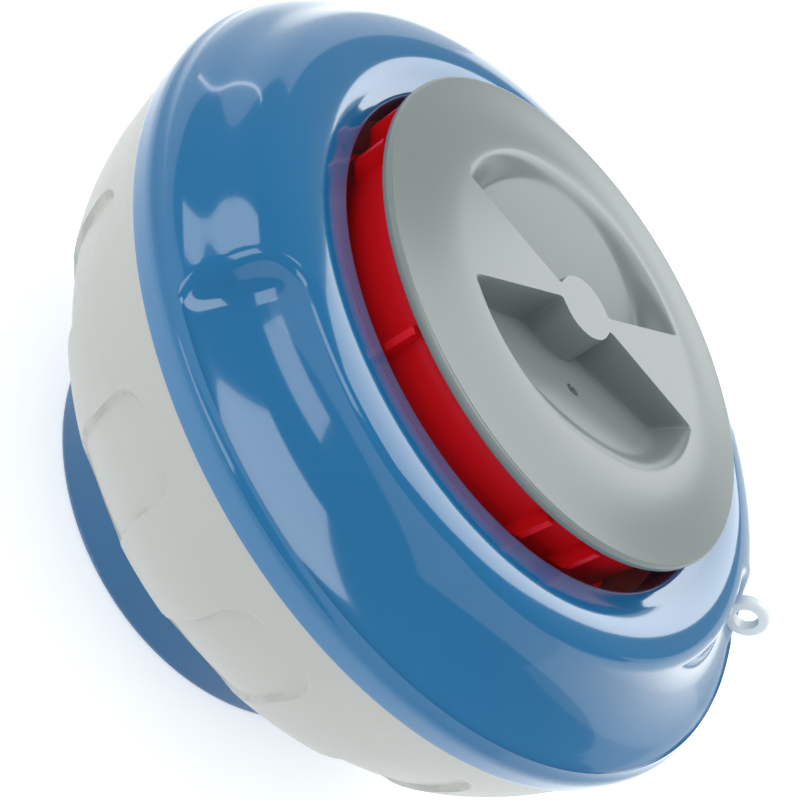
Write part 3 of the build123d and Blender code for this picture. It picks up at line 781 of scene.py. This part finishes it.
# --------------------------------------------------------------------------- lid
@dataclass
class GripLid:
    """Grey plug lid: crowned disc with two scooped finger pockets beside a bow-tie grip."""

    radius: float = 61.3
    edge_z: float = 113.3
    edge_thick: float = 2.0
    crown: float = 2.0
    pocket_r: float = 40.0
    depth: float = 11.0
    grip_azimuth: float = 45.0
    neck_run: float = 9.5
    neck_half: float = 2.6
    tip_run: float = 37.5
    tip_half: float = 14.0
    boss_r: float = 8.5
    disc_r: float = 46.0
    columns: int = 340
    vent_run: float = 20.0
    vent_r: float = 1.1
    vent_depth: float = 5.0
    pan_r: float = 43.0
    pan_low: float = 102.3

    def top(self, r: Array) -> Array:
        """Height of the lid's crown: level inside, then falling in a soft cone to the edge.

        Args:
            r: Distance from the axis.

        Returns:
            Height at each distance.
        """
        return self.edge_z + self.crown * (1 - smooth_step(r, self.pocket_r + 1.0, self.radius + 4.0))

    def grip_edge(self, s: Array) -> Array:
        """Half-width of the grip: a straight flare from neck to tip, or the round boss where wider.

        Args:
            s: Distance along the grip.

        Returns:
            Half-width at each distance.
        """
        flare = (self.tip_half - self.neck_half) / (self.tip_run - self.neck_run)
        wing = self.neck_half + flare * np.maximum(np.abs(s) - self.neck_run, 0.0)
        boss = np.sqrt(np.maximum(self.boss_r**2 - s**2, 0.0))
        return soft_max(wing, boss, 2.4)

    def height(self, s: Array, t: Array) -> Array:
        """Height of the lid's top: the crown, less a scoop that is deepest at the grip.

        Args:
            s: Distance along the grip.
            t: Distance across the grip.

        Returns:
            Height at each point.
        """
        r = np.hypot(s, t)
        top = self.top(r)
        slope = self.depth / (self.pocket_r - self.neck_half)
        floor = self.edge_z + self.crown - slope * (self.pocket_r - np.abs(t))
        past_grip = smooth_step(np.abs(t) - self.grip_edge(s), -0.45, 0.75)
        inside = 1.0 - smooth_step(r, self.pocket_r - 5.5, self.pocket_r + 1.0)
        sunk = top - past_grip * inside * np.maximum(top - floor, 0.0)
        vent = 1.0 - smooth_step(np.hypot(s, t - self.vent_run), self.vent_r - 0.1, self.vent_r + 0.45)
        return sunk - self.vent_depth * vent

    def build(self, finishes: Finishes) -> None:
        """Make the lid: a disc grid that follows the grip and the rim, sewn to a spun edge."""
        turn = np.linspace(0.0, np.pi, self.columns + 1)
        s = -self.disc_r * np.cos(turn)
        outer = self.disc_r * np.sin(turn)
        edge = np.minimum(self.grip_edge(s), outer * 0.97)
        rim = np.sqrt(np.maximum(self.pocket_r**2 - s**2, 0.0))
        stops = np.stack([0 * s, edge - 0.6, edge + 0.9, rim - 1.8, rim + 1.4, outer])
        stops = np.clip(stops, 0.0, outer * np.array([0, 0.90, 0.93, 0.95, 0.98, 1.0])[:, None])
        stops = np.maximum.accumulate(stops, axis=0)
        rows = (10, 9, 56, 12, 5)
        parts = [
            stops[k] + (stops[k + 1] - stops[k]) * (np.arange(n) / n)[:, None]
            for k, n in enumerate(rows)
        ]
        t_half = np.concatenate([*parts, outer[None, :]])
        t = np.concatenate([-t_half[:0:-1], t_half])
        s_grid = np.broadcast_to(s, t.shape)
        az = math.radians(self.grip_azimuth)
        # Across the grip, +t points to the side with the vent.
        x = s_grid * math.cos(az) + t * math.sin(az)
        y = s_grid * math.sin(az) - t * math.cos(az)
        disc = np.stack([x, y, self.height(s_grid, t)], axis=-1)
        faces = grid_faces(t.shape[0], t.shape[1], False, False)
        rim_turns = az + np.linspace(0.0, 2 * np.pi, 2 * self.columns, endpoint=False)
        radii = np.linspace(self.disc_r, self.radius - 0.9, 14)
        skirt = np.concatenate(
            [
                np.stack([radii, self.top(radii)], axis=-1),
                rounded_path(
                    [
                        (self.radius - 0.9, self.edge_z + 0.08, 0.0),
                        (self.radius, self.edge_z, 0.8),
                        (self.radius, self.edge_z - self.edge_thick, 0.5),
                        (self.radius - 3.0, self.edge_z - self.edge_thick, 0.0),
                    ],
                    6,
                    1.0,
                )[1:14],
                [
                    (self.radius - 6.0, self.edge_z - self.edge_thick),
                    (self.pan_r, self.edge_z - self.edge_thick),
                    (self.pan_r, self.pan_low + 0.5),
                    (self.pan_r - 0.5, self.pan_low),
                    (20.0, self.pan_low - 0.02),
                    (0.001, self.pan_low - 0.02),
                ],
            ]
        )
        ring = spun(skirt, rim_turns)
        ring_faces = grid_faces(len(skirt), len(rim_turns), False, True) + disc[..., 0].size
        points = np.concatenate([disc.reshape(-1, 3), ring.reshape(-1, 3)])
        piece = mesh_piece("lid_disc", points, np.concatenate([faces, ring_faces]), 32.0)
        settle(piece, "lid", "lid_grey", finishes.lid, "lid_cover")


# --------------------------------------------------------------------------- carried-over CAD nodes
@dataclass
class CarriedParts:
    """CAD nodes whose shape is right as it stands, and the finish each one gets."""

    finishes: Finishes
    rubber: tuple[str, ...] = (
        "seam_gasket", "sleeve_top_seal", "sleeve_foot_seal", "lid_seal", "vent_valve"
    )
    natural: tuple[str, ...] = ("tether_eye", "guide_ring", "dial_rivet")
    basket: tuple[str, ...] = (
        "tablet_basket", "basket_flange", "tablet_grate", "air_cell_trough", "air_cell_cap"
    )

    def build(self) -> None:
        """Dress each node that is still shown."""
        chosen = {name: self.finishes.rubber for name in self.rubber}
        chosen |= {name: self.finishes.natural for name in self.natural}
        chosen |= {name: self.finishes.basket for name in self.basket}
        chosen |= {
            "float_sleeve": self.finishes.bowl,
            "canister": self.finishes.canister,
            "dosing_dial": self.finishes.canister,
            "lid_plug": self.finishes.lid,
        }
        for name, material in chosen.items():
            dress(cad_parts[name], material)
            LOG.info("%s: CAD node dressed as %s", name, material.name)


# --------------------------------------------------------------------------- studio
@dataclass
class Studio:
    """Pale floor, soft lights and the camera.

    Each light has a name, a place in metres, a width, a height and a power in watts.
    """

    eye: tuple[float, float, float] = (0.0, -0.27853, 0.24718)
    right: tuple[float, float, float] = (0.49539804, 0.48995055, 0.71730694)
    up: tuple[float, float, float] = (-0.86862162, 0.27104722, 0.41476486)
    ahead: tuple[float, float, float] = (-0.00879022, 0.82854201, -0.5598579)
    lens: float = 60.99
    lights: list[tuple[str, tuple[float, float, float], float, float, float]] = field(
        default_factory=lambda: [
            ("overhead_softbox", (0.03, 0.42, 1.0), 0.5, 2.0, 9.5),
            ("left_softbox", (-0.89, -0.38, 0.7), 0.28, 0.3, 0.65),
            ("front_softbox", (-0.38, -0.85, 0.72), 0.6, 0.35, 1.6),
            ("right_card", (1.18, 0.55, 0.33), 1.5, 0.65, 0.9),
            ("back_card", (-0.1, 1.4, 0.2), 0.8, 0.5, 0.8),
            ("left_slit", (-1.3, 0.42, 0.45), 0.03, 0.42, 0.12),
        ]
    )

    aim: tuple[float, float, float] = (0.0, 0.0, 0.06)
    floor_half: float = 6.0
    floor_lines: int = 25
    floor_flat: float = 3.0
    floor_glow: float = 0.5
    room_colour: tuple[float, float, float, float] = (0.9, 1.0, 0.98, 1.0)
    room_glow: float = 0.44

    def floor(self) -> None:
        """Lay the floor: a wide, gently rising sheet, level under the object."""
        line = np.linspace(-self.floor_half, self.floor_half, self.floor_lines)
        x, y = np.meshgrid(line, line)
        far = np.maximum(np.hypot(x, y) - self.floor_flat, 0.0)
        sheet = np.stack([x / MM, y / MM, (far**2 * 0.2) / MM], axis=-1)
        faces = grid_faces(self.floor_lines, self.floor_lines, False, False)
        piece = mesh_piece("studio_floor", sheet, faces)
        made = bpy.data.materials.new("painted_studio_floor")
        made.use_nodes = True
        tree = made.node_tree
        tree.nodes.clear()
        place = add_node(tree, "ShaderNodeTexCoord").outputs["Object"]
        mottle = add_node(tree, "ShaderNodeTexNoise", {"Scale": 3.0, "Detail": 2.0}, Vector=place)
        body = add_node(
            tree,
            "ShaderNodeMix",
            {"data_type": "RGBA", 6: linear("f4f5f6"), 7: linear("f7f8f9")},
            n0=mottle.outputs["Fac"],
        )
        shader = add_node(
            tree,
            "ShaderNodeBsdfPrincipled",
            {
                "Roughness": 0.8,
                "Specular IOR Level": 0.1,
                "Emission Color": linear("ffffff"),
                "Emission Strength": self.floor_glow,
            },
            Base_Color=body.outputs[2],
        )
        add_node(tree, "ShaderNodeOutputMaterial", Surface=shader.outputs["BSDF"])
        dress(piece, made)

    def light(self) -> None:
        """Hang the softboxes, each aimed at the middle of the float, in a pale room."""
        for name, place, width, height, power in self.lights:
            lamp = bpy.data.lights.new(name, "AREA")
            lamp.shape, lamp.size, lamp.size_y, lamp.energy = "RECTANGLE", width, height, power
            holder = bpy.data.objects.new(name, lamp)
            holder.location = place
            holder.rotation_mode = "QUATERNION"
            holder.rotation_quaternion = (Vector(self.aim) - Vector(place)).to_track_quat("-Z", "Y")
            bpy.context.scene.collection.objects.link(holder)
        world = bpy.data.worlds.new("pale_room")
        world.use_nodes = True
        tree = world.node_tree
        tree.nodes.clear()
        room = {"Color": self.room_colour, "Strength": self.room_glow}
        glow = add_node(tree, "ShaderNodeBackground", room)
        add_node(tree, "ShaderNodeOutputWorld", Surface=glow.outputs["Background"])
        bpy.context.scene.world = world

    def camera(self) -> None:
        """Set the camera with its own right, up and back axes."""
        data = bpy.data.cameras.new("camera")
        data.lens, data.sensor_width, data.clip_start = self.lens, 36.0, 0.01
        holder = bpy.data.objects.new("camera", data)
        axes = Matrix([self.right, self.up, [-c for c in self.ahead]]).transposed().to_4x4()
        holder.matrix_world = Matrix.Translation(self.eye) @ axes
        bpy.context.scene.collection.objects.link(holder)
        bpy.context.scene.camera = holder

    def build(self) -> None:
        """Make the whole studio."""
        self.floor()
        self.light()
        self.camera()
        bpy.context.scene.view_settings.view_transform = "Standard"


def main() -> None:
    """Build the dispenser, dress it and set the studio."""
    logging.basicConfig(level=logging.INFO, format="%(name)s %(message)s")
    finishes = Finishes()
    Studio().build()
    FloatShell().build(finishes)
    IndicatorCollar().build(finishes)
    GripLid().build(finishes)
    CarriedParts(finishes).build()


if __name__ == "__main__":
    main()
